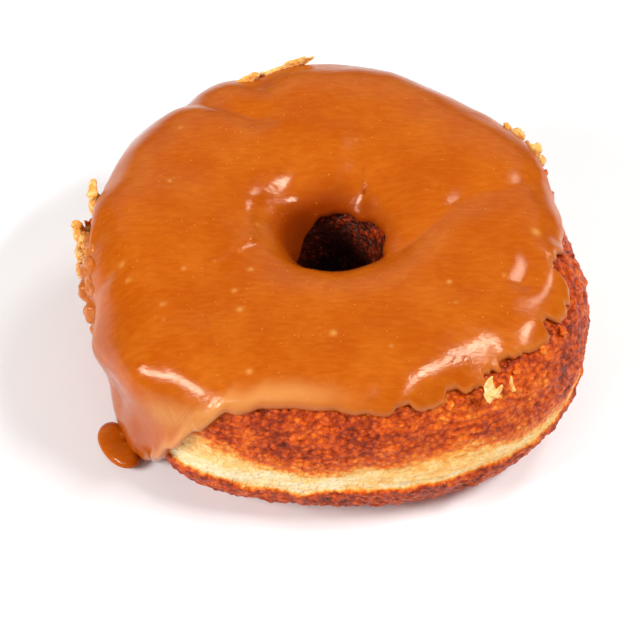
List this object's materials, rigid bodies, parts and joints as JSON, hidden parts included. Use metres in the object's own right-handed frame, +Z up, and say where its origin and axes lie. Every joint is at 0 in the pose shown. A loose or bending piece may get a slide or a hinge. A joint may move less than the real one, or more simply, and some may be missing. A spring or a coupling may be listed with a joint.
{
  "type": "croissant doughnut",
  "caption": "Fried ring of laminated croissant dough with a small hole, a flaky browned crust, a pale waist and thick maple icing that runs down one side.",
  "frame": {"origin": "on the surface the doughnut rests on, under the middle of its bounding box", "axes": "+Z up along the hole; -Y is the side the picture shows, where the icing stops high and the pale waist shows; -X and -Y together is the way to the run of icing that reaches the floor"},
  "size_m": [0.1012, 0.0978, 0.041],
  "materials": {
    "fried_dough": "fried laminated dough, browned and flaky above and below, pale cream at the waist",
    "maple_icing": "set maple icing, smooth and half glossy"
  },
  "bodies": {
    "root": {"dough_ring": "fried_dough", "maple_icing": "maple_icing"}
  },
  "joints": []
}
